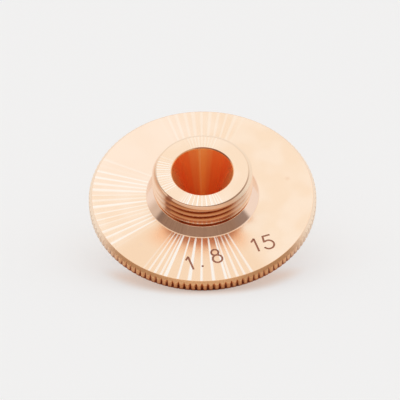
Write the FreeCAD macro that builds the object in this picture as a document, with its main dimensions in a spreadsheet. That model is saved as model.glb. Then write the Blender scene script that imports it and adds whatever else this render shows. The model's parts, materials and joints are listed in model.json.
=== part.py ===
# Laser cutting nozzle, turned in one piece from copper bar. Millimetres.
#
# The nozzle is drawn upright, with its axis on Z, the threaded neck up and the seat
# face of the flange at height 0. It is then laid down the way it comes to rest on a
# bench: tipped over onto the lower edge of its flange and the edge of its tip.
import FreeCAD, Part
import Sketcher
import os

NODE = "nozzle"

# Driving dimensions. Heights are measured from the seat face of the flange, and
# angles are in degrees.
DIMENSIONS = {
    "flange_diameter": 32.0,
    "flange_thickness": 2.0,
    "rim_chamfer": 0.45,
    "neck_height": 5.0,
    "nose_length": 10.0,
    "thread_diameter": 14.0,
    "thread_start_height": 1.9,
    "lead_chamfer": 0.55,
    "lead_angle": 30.0,
    "relief_diameter": 12.7,
    "shoulder_diameter": 15.8,
    "shoulder_height": 1.1,
    "shoulder_slope": 45.0,
    "shoulder_root_radius": 0.25,
    "nose_base_diameter": 20.5,
    "nose_root_radius": 0.5,
    "tip_diameter": 4.5,
    "mouth_diameter": 8.6,
    "mouth_break": 0.12,
    "orifice_diameter": 1.8,
    "throat_length": 3.0,
    "knurl_count": 122,
    "knurl_depth": 0.22,
    "knurl_angle": 90.0,
    "knurl_phase": -0.75,
    "knurl_cutter_overrun": 0.3,
}

# The half section of the turned blank, from the tip up: radius and height of each
# corner. The last two corners close it on the axis.
BLANK_SECTION = [
    ("tip_edge", "sizes.tip_diameter / 2", "-sizes.nose_length"),
    ("nose_root", "sizes.nose_base_diameter / 2", "-sizes.flange_thickness"),
    ("rim_low", "sizes.flange_diameter / 2", "-sizes.flange_thickness"),
    ("rim_high", "sizes.flange_diameter / 2", "0"),
    ("shoulder_root", "sizes.shoulder_diameter / 2", "0"),
    (
        "shoulder_top",
        "sizes.shoulder_diameter / 2 - sizes.shoulder_height / tan(sizes.shoulder_slope * 1 deg)",
        "sizes.shoulder_height",
    ),
    ("relief_low", "sizes.relief_diameter / 2", "sizes.shoulder_height"),
    (
        "relief_high",
        "sizes.relief_diameter / 2",
        "sizes.thread_start_height - (sizes.thread_diameter - sizes.relief_diameter) / 2",
    ),
    ("thread_low", "sizes.thread_diameter / 2", "sizes.thread_start_height"),
    (
        "thread_high",
        "sizes.thread_diameter / 2",
        "sizes.neck_height - sizes.lead_chamfer * tan(sizes.lead_angle * 1 deg)",
    ),
    ("neck_edge", "sizes.thread_diameter / 2 - sizes.lead_chamfer", "sizes.neck_height"),
    ("neck_axis", "0", "sizes.neck_height"),
    ("tip_axis", "0", "-sizes.nose_length"),
]

# The half section of the gas passage: a straight throat at the tip, then a taper that
# opens to the mouth.
PASSAGE_SECTION = [
    ("orifice", "sizes.orifice_diameter / 2", "-sizes.nose_length"),
    ("throat_top", "sizes.orifice_diameter / 2", "sizes.throat_length - sizes.nose_length"),
    ("mouth", "sizes.mouth_diameter / 2", "sizes.neck_height"),
    ("mouth_axis", "0", "sizes.neck_height"),
    ("orifice_axis", "0", "-sizes.nose_length"),
]

# One V groove of the knurl, seen along the nozzle's axis at the front of the rim.
KNURL_SECTION = [
    ("root", "0", "-sizes.flange_diameter / 2 + sizes.knurl_depth"),
    (
        "left",
        "-(sizes.knurl_depth + sizes.knurl_cutter_overrun) * tan(sizes.knurl_angle / 2 * 1 deg)",
        "-sizes.flange_diameter / 2 - sizes.knurl_cutter_overrun",
    ),
    (
        "right",
        "(sizes.knurl_depth + sizes.knurl_cutter_overrun) * tan(sizes.knurl_angle / 2 * 1 deg)",
        "-sizes.flange_diameter / 2 - sizes.knurl_cutter_overrun",
    ),
]


def make_sheet(doc):
    """The spreadsheet that every sketch, feature and placement reads."""
    sheet = doc.addObject("Spreadsheet::Sheet", "sizes")
    for row, (alias, value) in enumerate(DIMENSIONS.items(), start=1):
        sheet.set(f"A{row}", alias)
        sheet.set(f"B{row}", str(value))
        sheet.setAlias(f"B{row}", alias)
    doc.recompute()
    return sheet


def origin_feature(body, role):
    """One of the body's own origin planes or axes."""
    return [feature for feature in body.Origin.OriginFeatures if feature.Role == role][0]


def closed_sketch(body, role, name, corners):
    """A closed outline of straight lines on an origin plane, every corner bound."""
    sketch = body.newObject("Sketcher::SketchObject", name)
    sketch.AttachmentSupport = [(origin_feature(body, role), "")]
    sketch.MapMode = "FlatFace"
    points = [drawn_point(sketch, across, up) for _, across, up in corners]
    for start, end in zip(points, points[1:] + points[:1]):
        sketch.addGeometry(Part.LineSegment(start, end), False)
    for line in range(len(corners)):
        following = (line + 1) % len(corners)
        sketch.addConstraint(Sketcher.Constraint("Coincident", line, 2, following, 1))
    for line, (corner, across, up) in enumerate(corners):
        bind_corner(sketch, line, "DistanceX", corner + "_across", across, points[line].x)
        bind_corner(sketch, line, "DistanceY", corner + "_up", up, points[line].y)
    return sketch


def drawn_point(sketch, across, up):
    """Where a corner is first drawn, from the expressions that then hold it."""
    return FreeCAD.Vector(float(sketch.evalExpression(across)), float(sketch.evalExpression(up)), 0)


def bind_corner(sketch, line, kind, name, expression, drawn):
    """Holds one coordinate of a line's first point at an expression of the sizes."""
    index = sketch.addConstraint(Sketcher.Constraint(kind, -1, 1, line, 1, drawn))
    sketch.renameConstraint(index, name)
    sketch.setExpression("Constraints." + name, expression)


def ring_edges(feature, rings):
    """Names of a feature's round edges that have these radii and heights."""
    near = 1e-4
    names = []
    for number, edge in enumerate(feature.Shape.Edges, start=1):
        curve = edge.Curve
        if not isinstance(curve, Part.Circle):
            continue
        for radius, height in rings:
            if abs(curve.Radius - radius) < near and abs(curve.Center.z - height) < near:
                names.append(f"Edge{number}")
    return names


def dress(body, kind, name, rings, size_property, size_cell):
    """A chamfer or fillet on the round edges of the body's present shape."""
    base = body.Tip
    edges = ring_edges(base, rings)
    if len(edges) != len(rings):
        raise RuntimeError(f"{name}: found {edges} for {rings}")
    feature = body.newObject("PartDesign::" + kind, name)
    feature.Base = (base, edges)
    feature.setExpression(size_property, size_cell)
    body.Document.recompute()
    return feature


def turn_blank(body):
    """The outside of the nozzle: nose cone, flange, shoulder, relief and thread."""
    section = closed_sketch(body, "XZ_Plane", "blank_section", BLANK_SECTION)
    blank = body.newObject("PartDesign::Revolution", "turned_blank")
    blank.Profile = section
    blank.ReferenceAxis = (section, ["V_Axis"])
    blank.Angle = 360
    body.Document.recompute()


def bore_passage(body):
    """The gas passage, open at the mouth and at the orifice."""
    section = closed_sketch(body, "XZ_Plane", "passage_section", PASSAGE_SECTION)
    passage = body.newObject("PartDesign::Groove", "gas_passage")
    passage.Profile = section
    passage.ReferenceAxis = (section, ["V_Axis"])
    passage.Angle = 360
    body.Document.recompute()


def dress_edges(body, sheet):
    """Chamfers and fillets, from the rim inwards."""
    flange_radius = sheet.flange_diameter / 2
    dress(body, "Chamfer", "rim_chamfers",
          [(flange_radius, 0), (flange_radius, -sheet.flange_thickness)],
          "Size", "sizes.rim_chamfer")
    dress(body, "Chamfer", "mouth_break",
          [(sheet.mouth_diameter / 2, sheet.neck_height)], "Size", "sizes.mouth_break")
    dress(body, "Fillet", "shoulder_root",
          [(sheet.shoulder_diameter / 2, 0)], "Radius", "sizes.shoulder_root_radius")
    dress(body, "Fillet", "nose_root",
          [(sheet.nose_base_diameter / 2, -sheet.flange_thickness)],
          "Radius", "sizes.nose_root_radius")


def knurl_rim(body, sheet):
    """Straight knurling: one V groove along the rim, repeated all round."""
    section = closed_sketch(body, "XY_Plane", "knurl_section", KNURL_SECTION)
    section.setExpression("AttachmentOffset.Rotation.Angle", "sizes.knurl_phase * 1 deg")
    before = body.Tip.Shape.Volume
    groove = body.newObject("PartDesign::Pocket", "knurl_groove")
    groove.Profile = section
    groove.setExpression("Length", "sizes.flange_thickness")
    body.Document.recompute()
    pattern = body.newObject("PartDesign::PolarPattern", "knurl")
    pattern.Originals = [groove]
    pattern.Axis = (origin_feature(body, "Z_Axis"), [""])
    pattern.Angle = 360
    pattern.setExpression("Occurrences", "sizes.knurl_count")
    body.Tip = pattern
    body.Document.recompute()
    one = before - groove.Shape.Volume
    cut = before - pattern.Shape.Volume
    if one <= 0 or abs(cut / one - sheet.knurl_count) > 0.01 * sheet.knurl_count:
        raise RuntimeError(f"knurl: one groove takes {one}, all of them {cut}")


def lay_down(body):
    """Tips the nozzle forward until the flange's lower edge and the tip's edge both lie
    on the bench, with the middle of its outline over the origin."""
    foot_radius = "(sizes.flange_diameter / 2 - sizes.rim_chamfer)"
    lean = f"atan((sizes.nose_length - sizes.flange_thickness) / ({foot_radius} - sizes.tip_diameter / 2))"
    body.Placement = FreeCAD.Placement(FreeCAD.Vector(), FreeCAD.Rotation(FreeCAD.Vector(1, 0, 0), 1))
    body.setExpression("Placement.Rotation.Angle", lean)
    body.setExpression("Placement.Base.y", f"-sizes.flange_thickness / 2 * sin({lean})")
    body.setExpression("Placement.Base.z",
                       f"{foot_radius} * sin({lean}) + sizes.flange_thickness * cos({lean})")
    body.Document.recompute()


def make_nozzle(doc, sheet):
    body = doc.addObject("PartDesign::Body", NODE)
    turn_blank(body)
    bore_passage(body)
    dress_edges(body, sheet)
    knurl_rim(body, sheet)
    lay_down(body)
    return body


def check_document(doc):
    """Stops if any object failed, or any shape is missing or not valid."""
    for item in doc.Objects:
        if "Invalid" in item.State or "Error" in item.State:
            raise RuntimeError(f"{item.Name}: {item.State}")
    for body in doc.findObjects("PartDesign::Body"):
        shape = body.Shape
        if shape.isNull() or not shape.isValid() or len(shape.Solids) != 1:
            raise RuntimeError(f"{body.Name}: not one valid solid")


def export(doc):
    os.makedirs("parts", exist_ok=True)
    for body in doc.findObjects("PartDesign::Body"):
        body.Shape.exportStep(os.path.join("parts", body.Label + ".step"))
        box = body.Shape.BoundBox
        print(body.Label, f"volume {body.Shape.Volume:.1f} mm3,",
              f"x {box.XMin:.3f} to {box.XMax:.3f}, y {box.YMin:.3f} to {box.YMax:.3f},",
              f"z {box.ZMin:.3f} to {box.ZMax:.3f}")


document = FreeCAD.newDocument("laser_nozzle")
sizes = make_sheet(document)
make_nozzle(document, sizes)
check_document(document)
export(document)
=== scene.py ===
import json
import math

import bpy
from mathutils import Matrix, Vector


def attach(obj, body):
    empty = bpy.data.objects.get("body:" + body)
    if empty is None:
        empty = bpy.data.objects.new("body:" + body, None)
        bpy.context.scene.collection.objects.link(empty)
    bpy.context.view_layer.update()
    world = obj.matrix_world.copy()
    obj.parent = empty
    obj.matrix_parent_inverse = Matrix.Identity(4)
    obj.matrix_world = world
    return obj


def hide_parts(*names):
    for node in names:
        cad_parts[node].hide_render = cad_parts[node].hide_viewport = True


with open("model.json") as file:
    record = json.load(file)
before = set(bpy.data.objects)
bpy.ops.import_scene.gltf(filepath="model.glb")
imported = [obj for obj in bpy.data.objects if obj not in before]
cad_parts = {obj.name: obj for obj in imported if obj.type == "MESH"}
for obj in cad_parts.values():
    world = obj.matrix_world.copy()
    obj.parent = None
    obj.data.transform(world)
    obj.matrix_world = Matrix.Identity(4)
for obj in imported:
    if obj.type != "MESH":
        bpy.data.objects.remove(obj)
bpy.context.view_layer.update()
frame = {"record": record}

# The camera stands 0.4 m in front of the bench and looks down on the seat face at 19
# degrees, through a long lens, as in the photograph. It is turned a touch, so that the
# right side of the flange stands higher.
camera_distance = 0.4
camera_elevation = math.radians(18.97)
camera_roll = math.radians(-0.6)
aim = Vector((-0.000365, -0.000775, 0.008972))
bpy.ops.object.camera_add(location=aim + camera_distance * Vector(
    (0, -math.cos(camera_elevation), math.sin(camera_elevation))))
camera = bpy.context.object
camera.data.lens = 256.3
camera.data.clip_start = 0.01
camera.rotation_euler = (math.pi / 2 - camera_elevation, 0, 0)
camera.rotation_euler.rotate_axis("Z", camera_roll)
bpy.context.scene.camera = camera
bpy.context.scene.view_settings.view_transform = "Standard"

# The blank of the nozzle is turned from copper bar in one clamping: a 90 degree nose
# cone, a thin wide flange, a low 45 degree shoulder, a relief groove and the neck that
# is threaded later. It is drawn upright in millimetres, with the seat face at height 0.
sides = 366
tip_height, throat_height, flange_bottom = -10.0, -7.0, -2.0
shoulder_height, relief_height, land_height = 1.1, 1.25, 1.9
lead_height, passage_height, neck_height = 4.682, 4.88, 5.0
orifice_radius, passage_radius, mouth_radius = 0.9, 4.266, 4.42
tip_radius, nose_radius = 2.25, 10.25
seat_radius, flange_radius, rim_chamfer = 15.55, 16.0, 0.45
face_ring_radii = (15.3, 8.2)
shoulder_radius, shoulder_top_radius = 7.9, 6.8
relief_radius, thread_radius, neck_radius = 6.35, 7.0, 6.45
nose_fillet, shoulder_fillet, edge_break, tip_break = 0.207, 0.104, 0.05, 0.02
same_point = 0.001
same_ring = 0.002
turned_section = [
    (orifice_radius, tip_height), (tip_radius, tip_height), (nose_radius, flange_bottom),
    (seat_radius, flange_bottom), (flange_radius, flange_bottom + rim_chamfer),
    (flange_radius, -rim_chamfer), (seat_radius, 0.0),
    *((radius, 0.0) for radius in face_ring_radii),
    (shoulder_radius, 0.0), (shoulder_top_radius, shoulder_height),
    (relief_radius, shoulder_height), (relief_radius, relief_height),
    (thread_radius, land_height), (thread_radius, lead_height),
    (neck_radius, neck_height), (mouth_radius, neck_height),
    (passage_radius, passage_height), (orifice_radius, throat_height),
]


def deselect():
    """Nothing stays selected from the step before."""
    bpy.ops.object.select_all(action="DESELECT")


def turn(section):
    """A closed ring of faces round the axis, drawn out from one station to the next."""
    radius, height = section[0]
    bpy.ops.mesh.primitive_circle_add(vertices=sides, radius=radius, location=(0, 0, height))
    bpy.ops.object.transform_apply(location=True)
    bpy.ops.object.mode_set(mode="EDIT")
    bpy.ops.mesh.select_all(action="SELECT")
    for next_radius, next_height in section[1:] + section[:1]:
        bpy.ops.mesh.extrude_region_move(
            TRANSFORM_OT_translate={"value": (0, 0, next_height - height)})
        grow = next_radius / radius
        bpy.ops.transform.resize(value=(grow, grow, 1), center_override=(0, 0, next_height))
        radius, height = next_radius, next_height
    bpy.ops.mesh.select_all(action="SELECT")
    bpy.ops.mesh.remove_doubles(threshold=same_point)
    bpy.ops.mesh.normals_make_consistent(inside=False)
    bpy.ops.object.mode_set(mode="OBJECT")
    return bpy.context.object


def round_rings(piece, rings, width, segments):
    """Breaks or fillets the round edges that lie at these radii and heights."""
    bpy.ops.object.mode_set(mode="EDIT")
    bpy.ops.mesh.select_mode(type="EDGE")
    bpy.ops.mesh.select_all(action="DESELECT")
    bpy.ops.object.mode_set(mode="OBJECT")
    places = [(math.hypot(v.co.x, v.co.y), v.co.z) for v in piece.data.vertices]
    for edge in piece.data.edges:
        edge.select = any(
            all(math.dist(places[end], ring) < same_ring for end in edge.vertices)
            for ring in rings)
    bpy.ops.object.mode_set(mode="EDIT")
    bpy.ops.mesh.bevel(offset=width, segments=segments, profile=0.5, affect="EDGES")
    bpy.ops.object.mode_set(mode="OBJECT")


deselect()
nozzle = turn(turned_section)
nozzle.name = "nozzle_turned"
round_rings(nozzle, [(nose_radius, flange_bottom)], nose_fillet, 4)
round_rings(nozzle, [(shoulder_radius, 0.0)], shoulder_fillet, 3)
round_rings(nozzle, [
    (seat_radius, flange_bottom), (flange_radius, flange_bottom + rim_chamfer),
    (flange_radius, -rim_chamfer), (seat_radius, 0.0),
    (shoulder_top_radius, shoulder_height), (thread_radius, lead_height),
    (neck_radius, neck_height), (mouth_radius, neck_height),
    (passage_radius, passage_height)], edge_break, 2)
round_rings(nozzle, [(orifice_radius, tip_height), (tip_radius, tip_height)], tip_break, 2)

# The thread is a right-hand one of 1 mm pitch, cut with a 60 degree point from the end
# of the neck. The point is drawn out over the last part of a turn, just above the relief
# groove.
pitch = 1.0
thread_turns = 4
steps_per_turn = 244
run_out_steps = 60
run_out_rise = 0.1
thread_start = 2.1
thread_phase = math.radians(-54)
root_radius, half_root = 6.387, 0.0835
point_reach, half_groove = 7.25, 0.4375
point_corners = [
    (root_radius, -half_root), (thread_radius, -half_groove), (point_reach, -half_groove),
    (point_reach, half_groove), (thread_radius, half_groove), (root_radius, half_root)]


def cut(piece, tool):
    """Takes a closed tool away from the piece."""
    taken = piece.modifiers.new("cut", "BOOLEAN")
    taken.operation = "DIFFERENCE"
    taken.solver = "EXACT"
    taken.object = tool
    deselect()
    bpy.context.view_layer.objects.active = piece
    piece.select_set(True)
    bpy.ops.object.modifier_apply(modifier=taken.name)
    bpy.data.objects.remove(tool)


deselect()
bpy.ops.mesh.primitive_circle_add(vertices=len(point_corners), radius=1)
thread_tool = bpy.context.object
for vertex, (across, up) in zip(thread_tool.data.vertices, point_corners):
    vertex.co = (
        across * math.cos(thread_phase), across * math.sin(thread_phase), up + thread_start)
helix = thread_tool.modifiers.new("helix", "SCREW")
helix.axis = "Z"
helix.angle = 2 * math.pi
helix.screw_offset = pitch
helix.iterations = thread_turns
helix.steps = helix.render_steps = steps_per_turn
helix.use_smooth_shade = False
bpy.ops.object.modifier_apply(modifier=helix.name)
for number, vertex in enumerate(thread_tool.data.vertices):
    drawn_out = max(0, 1 - number // len(point_corners) / run_out_steps)
    vertex.co.xy *= 1 + run_out_rise * drawn_out
bpy.ops.object.mode_set(mode="EDIT")
bpy.ops.mesh.select_all(action="SELECT")
bpy.ops.mesh.remove_doubles(threshold=same_point / 10)
bpy.ops.mesh.select_all(action="SELECT")
bpy.ops.mesh.fill_holes(sides=0)
bpy.ops.mesh.select_all(action="SELECT")
bpy.ops.mesh.normals_make_consistent(inside=False)
bpy.ops.object.mode_set(mode="OBJECT")
cut(nozzle, thread_tool)

# The rim is knurled with 122 straight grooves for the fingers, each pressed in by the
# 90 degree ridge of a knurling wheel.
grooves = 122
groove_root = 15.78
ridge_reach = 0.52
ridge_length = 2.8
groove_phase = math.radians(-90.75)
deselect()
bpy.ops.mesh.primitive_cylinder_add(
    vertices=3, radius=1, depth=ridge_length, end_fill_type="NGON",
    location=(0, 0, flange_bottom / 2))
bpy.ops.object.transform_apply(location=True)
ridge = bpy.context.object
ridge_corners = [
    (groove_root, 0), (groove_root + ridge_reach, -ridge_reach),
    (groove_root + ridge_reach, ridge_reach)]
for number, vertex in enumerate(ridge.data.vertices):
    across, along = ridge_corners[number // 2]
    vertex.co.x = across * math.cos(groove_phase) - along * math.sin(groove_phase)
    vertex.co.y = across * math.sin(groove_phase) + along * math.cos(groove_phase)
bpy.ops.object.mode_set(mode="EDIT")
bpy.ops.mesh.select_all(action="SELECT")
bpy.ops.mesh.spin(
    steps=grooves - 1, dupli=True, angle=2 * math.pi * (grooves - 1) / grooves,
    center=(0, 0, 0), axis=(0, 0, 1))
bpy.ops.mesh.select_all(action="SELECT")
bpy.ops.mesh.normals_make_consistent(inside=False)
bpy.ops.object.mode_set(mode="OBJECT")
cut(nozzle, ridge)

# The orifice size and the height of the nozzle in millimetres are engraved in the seat
# face with a fine round point, along a straight line that stands 19 degrees off square.
# The point is sunk in to a little less than its radius.
point_radius = 0.145
point_sides = 12
line_start = (-1.35, -13.45)
line_angle = math.radians(18.8)
point_height = 0.03
straight_strokes = [
    ((0, -0.05), (0, 2.32)), ((0.03, 2.33), (-0.5, 1.83)),
    ((9.6, -0.05), (9.6, 2.32)), ((9.63, 2.33), (9.05, 1.8)),
    ((10.85, 2.27), (11.95, 2.27)), ((10.91, 2.35), (10.76, 1.2)),
]
round_strokes = [(3.73, 0.66, 0.66), (3.73, 1.82, 0.5)]
five_bowl = (11.25, 0.66, 0.75)
bowl_start, bowl_sweep = math.radians(129), math.radians(288)
point_mark = (1.36, 0.1)
mark_radius = 0.17


def engrave(tool):
    """Lays one stroke of the point along the line of digits and cuts it."""
    tool.rotation_euler = (0, 0, line_angle)
    tool.location = (*line_start, point_height)
    bpy.ops.object.transform_apply(location=True, rotation=True)
    cut(nozzle, tool)


for (start_x, start_y), (end_x, end_y) in straight_strokes:
    deselect()
    length = math.dist((start_x, start_y), (end_x, end_y))
    bpy.ops.mesh.primitive_cylinder_add(
        vertices=point_sides, radius=point_radius, depth=length,
        location=((start_x + end_x) / 2, (start_y + end_y) / 2, 0),
        rotation=(math.pi / 2, 0, math.atan2(end_y - start_y, end_x - start_x) + math.pi / 2))
    bpy.ops.object.transform_apply(location=True, rotation=True)
    engrave(bpy.context.object)
for across, up, radius in round_strokes:
    deselect()
    bpy.ops.mesh.primitive_torus_add(
        major_radius=radius, minor_radius=point_radius, major_segments=40,
        minor_segments=point_sides, location=(across, up, 0))
    bpy.ops.object.transform_apply(location=True)
    engrave(bpy.context.object)
deselect()
bowl_x, bowl_y, bowl_radius = five_bowl
bpy.ops.mesh.primitive_circle_add(
    vertices=point_sides, radius=point_radius, fill_type="NGON",
    rotation=(math.pi / 2, 0, bowl_start),
    location=(bowl_x + bowl_radius * math.cos(bowl_start),
              bowl_y + bowl_radius * math.sin(bowl_start), 0))
bpy.ops.object.transform_apply(location=True, rotation=True)
bpy.ops.object.mode_set(mode="EDIT")
bpy.ops.mesh.select_all(action="SELECT")
bpy.ops.mesh.spin(
    steps=32, angle=bowl_sweep, center=(bowl_x, bowl_y, 0), axis=(0, 0, 1))
bpy.ops.mesh.select_all(action="SELECT")
bpy.ops.mesh.fill_holes(sides=0)
bpy.ops.mesh.select_all(action="SELECT")
bpy.ops.mesh.normals_make_consistent(inside=False)
bpy.ops.object.mode_set(mode="OBJECT")
engrave(bpy.context.object)
deselect()
bpy.ops.mesh.primitive_uv_sphere_add(
    segments=16, ring_count=8, radius=mark_radius, location=(*point_mark, 0))
bpy.ops.object.transform_apply(location=True)
engrave(bpy.context.object)

# The finished nozzle is brought to size and laid on the bench as it comes to rest,
# tipped forward on the lower edge of the flange and the edge of the tip.
mounts = {mount["name"]: mount for mount in frame["record"]["mounts"]}
axis = Vector(mounts["thread"]["axis"])
on_axis = Vector(mounts["thread"]["pos_m"])
seat_centre = on_axis + axis * (Vector(mounts["seat"]["pos_m"]) - on_axis).dot(axis)
lean = math.atan2(-axis.y, axis.z)
crease = math.radians(28)
millimetre = 0.001
deselect()
nozzle.select_set(True)
bpy.context.view_layer.objects.active = nozzle
bpy.ops.object.shade_smooth_by_angle(angle=crease)
even = nozzle.modifiers.new("even", "WEIGHTED_NORMAL")
even.keep_sharp = True
even.weight = 100
even.thresh = 0.001
bpy.ops.object.modifier_apply(modifier=even.name)
nozzle.location = seat_centre
nozzle.rotation_euler = (lean, 0, 0)
nozzle.scale = (millimetre, millimetre, millimetre)
bpy.ops.object.transform_apply(location=True, rotation=True, scale=True)
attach(nozzle, "root")
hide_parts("nozzle")


# The copper is bright from the turning tool, which chattered on the facing cuts and left
# fans of fine rays; their pale colour is a painted highlight on the real chatter marks. The
# passage is deep orange from the light that goes back and forth in it, a painted
# reflection. Many colours below are painted light and shade, each said where it is made.
# Heights and radii are in millimetres, and directions in degrees round the axis.
class Wire:
    """A socket of the material's nodes, for use in sums."""

    tree = None

    def __init__(self, socket):
        self.socket = socket

    @classmethod
    def node(cls, kind, settings=None, inputs=None, output=0):
        """Adds a node: first its settings, then its sockets' values or links."""
        added = cls.tree.nodes.new("ShaderNode" + kind)
        for name, value in (settings or {}).items():
            setattr(added, name, value)
        for name, value in (inputs or {}).items():
            if isinstance(value, Wire):
                cls.tree.links.new(value.socket, added.inputs[name])
            else:
                added.inputs[name].default_value = value
        return cls(added.outputs[output])

    def maths(self, operation, *values):
        """A Math node whose first value is this socket."""
        return Wire.node("Math", {"operation": operation}, dict(enumerate((self, *values))))

    def __add__(self, other):
        return self.maths("ADD", other)

    __radd__ = __add__

    def __sub__(self, other):
        return self.maths("SUBTRACT", other)

    def __rsub__(self, other):
        return Wire.node("Math", {"operation": "SUBTRACT"}, {0: other, 1: self})

    def __mul__(self, other):
        return self.maths("MULTIPLY", other)

    __rmul__ = __mul__


def between(value, low, high):
    """0 below low and 1 above high, with a soft step between the two."""
    return Wire.node("MapRange", {"interpolation_type": "SMOOTHSTEP"}, {
        "Value": value, "From Min": low, "From Max": high})


def band(value, low, high, soft):
    """1 between low and high, and 0 outside them."""
    return between(value, low - soft, low) * (1 - between(value, high, high + soft))


def tint(factor, plain, tinted):
    """A colour that goes from plain (socket 6) to tinted (socket 7) with the factor."""
    return Wire.node("Mix", {"data_type": "RGBA"}, {0: factor, 6: plain, 7: tinted}, 2)


copper = bpy.data.materials.new("copper")
copper.use_nodes = True
Wire.tree = copper.node_tree
shader = copper.node_tree.nodes["Principled BSDF"]
place = Wire.node("TexCoord", output="Object")
own = Wire.node("Mapping", {"vector_type": "TEXTURE"}, {
    "Vector": place, "Location": seat_centre, "Rotation": (lean, 0, 0),
    "Scale": (millimetre, millimetre, millimetre)})
own_x, own_y, own_z = (
    Wire.node("SeparateXYZ", inputs={"Vector": own}, output=way) for way in "XYZ")
across = (own_x * own_x + own_y * own_y).maths("SQRT")
clock = own_y.maths("ARCTAN2", own_x) * (180 / math.pi)

face_heights, face_radii = (-0.004, 0.02, 0.002), (8.0, 15.5, 0.1)
cut_heights, cut_radii = (-0.14, -0.012, 0.006), (8.4, 15.3, 0.1)
thread_heights, thread_radii = (1.14, 4.69, 0.02), (6.2, 7.1, 0.05)
shoulder_heights, shoulder_radii = (0.03, 1.09, 0.03), (6.85, 7.9, 0.05)
passage_slope = 0.2834
warm_side, shoulder_reflection_side, leaning_side = (-135, -62, 15), (-128, -60, 15), (-138, -45, 12)
cone_shade_side, rim_shade_side, far_side = (-156, -100, 16), (-130, -50, 30), (115, 160, 35)
dark_reflection_side, mouth_shade_side, foot_shadow_side = (-137, -133, 4), (35, 95, 25), (-118, -58, 16)

on_face = band(own_z, *face_heights) * band(across, *face_radii)
on_neck_end = between(own_z, 4.99, 4.995) * between(across, 4.4, 4.42)
in_taper = 1 - between(across - passage_slope * own_z, 2.92, 2.97)
in_throat = 1 - between(across, 0.92, 0.95)
in_passage = in_taper.maths("MAXIMUM", in_throat) * between(own_z, -9.99, -9.95)
engraved = band(own_z, *cut_heights) * band(across, *cut_radii)
on_mouth_edge = between(own_z, 4.87, 4.885) * (1 - between(across, 4.41, 4.43))
on_rim = between(across, 15.5, 15.6)
below_chamfer = 1 - between(own_z, -0.36, -0.26)
in_groove = (1 - between(across + own_z * 0.16, 15.71, 15.75)) * below_chamfer
on_thread = band(own_z, *thread_heights) * band(across, *thread_radii)
on_lead = between(own_z, 4.68, 4.71) * between(across, 6.46, 6.5)
on_neck_edge = between(own_z, 4.9, 4.93) * band(across, 6.38, 6.55, 0.03)
on_neck = between(own_z, 1.6, 1.7) * between(across, 6.3, 6.4)
on_shoulder = band(own_z, *shoulder_heights) * band(across, *shoulder_radii)
in_front = between(clock, -145, -135) * (1 - between(clock, -60, -36))
# A painted reflection of the shoulder on the seat face beside it, at the front.
painted_shoulder_reflection = on_face * (1 - between(across, 8.6, 12.4)) * band(clock, *shoulder_reflection_side)
turned_away = own_x.maths("DIVIDE", across)
passage_light = band(turned_away, -0.42, 0.31, 0.08)
passage_highlight_line = band(turned_away, -0.11, -0.06, 0.03)
unevenness = Wire.node("TexNoise", {"noise_dimensions": "1D"}, {
    "W": clock * 0.35, "Scale": 1.0, "Detail": 1.0})
blotches = Wire.node("TexNoise", {}, {"Vector": own, "Scale": 0.22, "Detail": 1.5})
grain = Wire.node("TexNoise", {"noise_dimensions": "1D"}, {
    "W": clock * 0.5, "Scale": 1.0, "Detail": 3.0})


def rays(first, pitch_angle, width, start, end, soft):
    """Rays at a nearly even pitch round the axis, in degrees, between two directions."""
    turn_count = (clock - first + 1.4 * unevenness) * (1 / pitch_angle)
    off = (turn_count - turn_count.maths("ROUND")).maths("ABSOLUTE")
    half = width / 2 / pitch_angle
    ray = 1 - between(off, half * 0.45, half * 1.55)
    return ray * band(clock, start, end, soft)


def speck(x, y, size):
    """A small stain on the seat face."""
    off_x, off_y = own_x - x, own_y - y
    off = (off_x * off_x + off_y * off_y).maths("SQRT")
    return (1 - between(off, size * 0.3, size)) * on_face


specks = speck(-8.6, -8.95, 0.35) + speck(12.0, 2.75, 0.5) * 0.6
front_rays = rays(-90.3, 6.2, 1.5, -112, -76, 3)
front_side_rays = 0.7 * (
    rays(-118.3, 3.3, 1.2, -121, -112, 2) + rays(-71.8, 3.9, 1.4, -76, -64, 3))
back_rays = 0.28 * rays(90.7, 4.6, 1.5, 72, 108, 8)
left_fans = rays(163.7, 4.4, 1.6, 157, 180, 5) + rays(-162.3, 4.4, 1.6, -180, -144, 3)
left_rays = left_fans * (between(unevenness, 0.3, 0.6) * 0.75 + 0.1)
faced = (on_face + on_neck_end).maths("MINIMUM", 1)
# The rays' pale colour is a painted highlight on the real chatter marks; the front rays also
# lean the normal further down.
painted_ray_highlights = (front_rays + front_side_rays + back_rays + left_rays) * (on_face + on_neck_end)

seat_colour = (0.94, 0.735, 0.55, 1)
warm_colour = (0.91, 0.67, 0.47, 1)
shoulder_reflection_tone = (0.95, 0.54, 0.31, 1)
far_colour = (0.98, 0.81, 0.68, 1)
blotch_colour = (0.955, 0.775, 0.61, 1)
ray_highlight_tone = (0.99, 0.93, 0.86, 1)
turned_colour = (0.95, 0.62, 0.42, 1)
grain_colour = (0.87, 0.56, 0.375, 1)
speck_colour = (0.90, 0.66, 0.48, 1)
highlit_cone_tone = (0.94, 0.71, 0.57, 1)
shaded_cone_tone = (0.70, 0.48, 0.35, 1)
crest_highlight_tone = (0.97, 0.75, 0.60, 1)
highlit_flank_tone = (0.70, 0.36, 0.20, 1)
highlit_thread_tone = (0.96, 0.69, 0.51, 1)
crest_reflection_tone = (0.66, 0.28, 0.15, 1)
flank_reflection_tone = (0.74, 0.30, 0.12, 1)
root_shade_tone = (0.34, 0.095, 0.028, 1)
lead_shade_tone = (0.88, 0.51, 0.31, 1)
edge_shade_tone = (0.36, 0.19, 0.11, 1)
front_rim_shade_tone = (0.95, 0.52, 0.25, 1)
highlit_rim_tone = (0.95, 0.76, 0.59, 1)
groove_shade_tone = (0.41, 0.125, 0.06, 1)
passage_colour = (1.0, 0.42, 0.14, 1)
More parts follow.
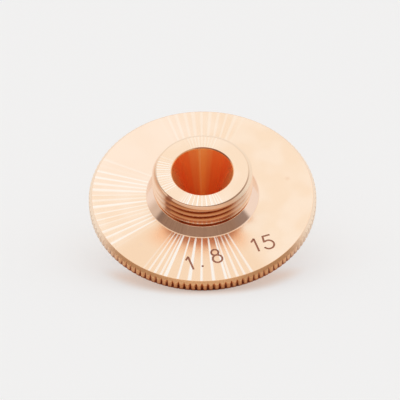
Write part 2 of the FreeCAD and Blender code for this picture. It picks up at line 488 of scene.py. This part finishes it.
light_colour = (1.0, 0.56, 0.22, 1)
highlight_line_tone = (1.0, 0.70, 0.38, 1)
dark_reflection_tone = (0.36, 0.12, 0.06, 1)
engraved_colour = (0.52, 0.24, 0.16, 1)

# The thread's colours are painted light: painted shade in the roots, painted reflections on
# the flanks and crests at the front, a painted highlight on the edge of the lowest crest, a
# painted shadow under it at the front, and a pale painted highlight round the sides and back.
threaded = tint(
    between(across, 6.94, 6.99),
    tint(between(across, 6.6, 6.92), root_shade_tone, flank_reflection_tone), crest_reflection_tone)
threaded = tint(band(own_z, 1.89, 2.10, 0.03), threaded, crest_highlight_tone)
threaded = tint(
    1 - between(own_z, 1.84, 1.88), threaded,
    tint(band(clock, *foot_shadow_side), lead_shade_tone, root_shade_tone))
threaded = tint(
    in_front, tint(between(across, 6.5, 6.95), highlit_flank_tone, highlit_thread_tone), threaded)
# The rim's colours are painted light: pale round the sides and back as a painted highlight,
# deeper orange at the front as painted shade, and dark in the knurl grooves and along its
# lower part as painted shade.
in_rim_shade = in_groove + 0.9 * (1 - between(own_z, -1.6, -1.0))
rim = tint(
    band(clock, *rim_shade_side), highlit_rim_tone,
    tint(in_rim_shade, front_rim_shade_tone, groove_shade_tone))
# The passage's colours are painted reflections of the light inside it: deep orange, with a
# lighter band and a bright line.
bore = tint(passage_highlight_line, tint(passage_light, passage_colour, light_colour), highlight_line_tone)
# A dark painted reflection on the thread at the left of the neck.
in_dark_reflection = on_neck * band(clock, *dark_reflection_side) * (1 - 0.7 * between(across, 6.8, 6.95)) * 0.8

# The faced surfaces get a paler copper than the turned ones, a painted highlight.
colour = tint(
    faced, turned_colour, tint(between(blotches, 0.4, 0.65), seat_colour, blotch_colour))
colour = tint(on_face * band(clock, *warm_side), colour, warm_colour)
colour = tint(on_face * band(clock, *far_side) * 0.6, colour, far_colour)
colour = tint(painted_shoulder_reflection, colour, shoulder_reflection_tone)
colour = tint(painted_ray_highlights.maths("MINIMUM", 1), colour, ray_highlight_tone)
colour = tint(on_thread, colour, threaded)
colour = tint(on_shoulder * in_front * between(grain, 0.42, 0.62), colour, grain_colour)
# Away from the front the shoulder is painted pale, a painted highlight, and darker just left
# of the front, a painted shade.
colour = tint(
    on_shoulder * (1 - in_front), colour,
    tint(band(clock, *cone_shade_side), highlit_cone_tone, shaded_cone_tone))
colour = tint(specks, colour, speck_colour)
# The lead chamfer is painted darker at the front, a painted shade; elsewhere it keeps the
# seat face's colour.
colour = tint(on_lead, colour, tint(in_front, seat_colour, lead_shade_tone))
# The edge at the end of the neck is painted dark at the front, fading towards the back, a
# painted shade.
colour = tint(
    on_neck_edge * (0.9 - 0.85 * between(own_y, -4.5, 2.0)), colour, edge_shade_tone)
colour = tint(on_rim, colour, rim)
colour = tint(in_dark_reflection, colour, dark_reflection_tone)
colour = tint(in_passage, colour, bore)
# The mouth's edge is painted dark on one side, a painted shade.
colour = tint(on_mouth_edge * band(clock, *mouth_shade_side), colour, dark_reflection_tone)
colour = tint(engraved, colour, engraved_colour)
roughness = (
    0.22 + 0.10 * on_rim + 0.25 * engraved - 0.04 * in_passage - 0.06 * on_thread
    - 0.10 * on_shoulder + 0.08 * painted_shoulder_reflection)
metal = 1 - in_passage * (0.7 - 0.5 * between(own_y, -0.5, 2.0))
outward = on_face * band(clock, *leaning_side) * (
    0.10 + 0.14 * (front_rays + front_side_rays)).maths("DIVIDE", across)
leaned = Wire.node("CombineXYZ", inputs={
    "X": own_x * outward, "Y": own_y * outward * math.cos(lean),
    "Z": own_y * outward * math.sin(lean)})
normal = Wire.node("VectorMath", {"operation": "ADD"}, {
    0: Wire.node("NewGeometry", output="Normal"), 1: leaned})
normal = Wire.node("VectorMath", {"operation": "NORMALIZE"}, {0: normal})
for name, value in (
        ("Base Color", colour), ("Metallic", metal), ("Roughness", roughness),
        ("Normal", normal)):
    copper.node_tree.links.new(value.socket, shader.inputs[name])
nozzle.data.materials.clear()
nozzle.data.materials.append(copper)

# The bench is a sheet of white card. The camera sees it nearly all the same white, with
# a weak shadow and, near the front, the warm light that the flange throws on it. The
# copper mirrors it as plain lit card.
card_white = 0.871
shown_white = 0.937
shadow_share = 0.45
light_reach, light_end = (0.0130, 0.0158), (-0.008, -0.003)
lit_colour, warm_lit_colour = (0.9, 0.9, 0.9, 1), (0.9, 0.70, 0.58, 1)
shown_colour = (shown_white, shown_white, shown_white, 1)
warm_shown_colour = (0.85, 0.68, 0.57, 1)
deselect()
bpy.ops.mesh.primitive_plane_add(size=4)
bench = bpy.context.object
bench.name = "bench"
card = bpy.data.materials.new("white card")
card.use_nodes = True
Wire.tree = card.node_tree
card.node_tree.nodes.clear()
spot = Wire.node("TexCoord", output="Object")
spot_x, spot_y = (
    Wire.node("SeparateXYZ", inputs={"Vector": spot}, output=way) for way in "XY")
from_middle = (spot_x * spot_x + spot_y * spot_y).maths("SQRT")
near_flange = 1 - between(from_middle, *light_reach)
copper_light = near_flange * (1 - between(spot_y, *light_end)) * 0.7
camera_sees = Wire.node("LightPath", output="Is Camera Ray")
lit = Wire.node("BsdfDiffuse", inputs={
    "Color": tint(copper_light, lit_colour, warm_lit_colour)})
white = Wire.node("Emission", inputs={
    "Color": tint(copper_light, shown_colour, warm_shown_colour)})
both = Wire.node("MixShader", inputs={0: camera_sees * (1 - shadow_share), 1: lit, 2: white})
card_output = card.node_tree.nodes.new("ShaderNodeOutputMaterial")
card.node_tree.links.new(both.socket, card_output.inputs["Surface"])
bench.data.materials.append(card)

# A white tent stands over the bench, bright overhead, at the sides and behind, and dim
# and warm towards its front, which has a bright opening in the middle. A soft lamp
# overhead gives the weak shadow.
world = bpy.data.worlds.new("tent")
bpy.context.scene.world = world
world.use_nodes = True
Wire.tree = world.node_tree
world.node_tree.nodes.clear()
direction = Wire.node("TexCoord", output="Generated")
sideways, towards_back, upwards = (
    Wire.node("SeparateXYZ", inputs={"Vector": direction}, output=way) for way in "XYZ")
front = (1 - between(towards_back, -0.22, -0.08)) * (
    1 - 0.65 * between(upwards, 0.34, 0.46) - 0.35 * between(upwards, 0.70, 0.88))
opening = band(sideways, -0.4, 0.4, 0.05) * band(upwards, 0.24, 0.6, 0.02) * front
tent_colour = (0.95, 0.94, 0.93, 1)
front_colour = (0.335, 0.275, 0.25, 1)
opening_colour = (1.4, 1.4, 1.4, 1)
seen_colour = (card_white, card_white, card_white, 1)
seen = Wire.node("LightPath", output="Is Camera Ray")
shade = tint(opening, tint(front, tent_colour, front_colour), opening_colour)
shade = tint(seen, shade, seen_colour)
backdrop = Wire.node("Background", inputs={"Color": shade, "Strength": 1.0})
world_output = world.node_tree.nodes.new("ShaderNodeOutputWorld")
world.node_tree.links.new(backdrop.socket, world_output.inputs["Surface"])
bpy.ops.object.light_add(type="AREA", location=(0, 0.05, 0.6))
softbox = bpy.context.object
softbox.data.shape = "SQUARE"
softbox.data.size = 0.5
softbox.data.energy = 0.07
softbox.visible_camera = False
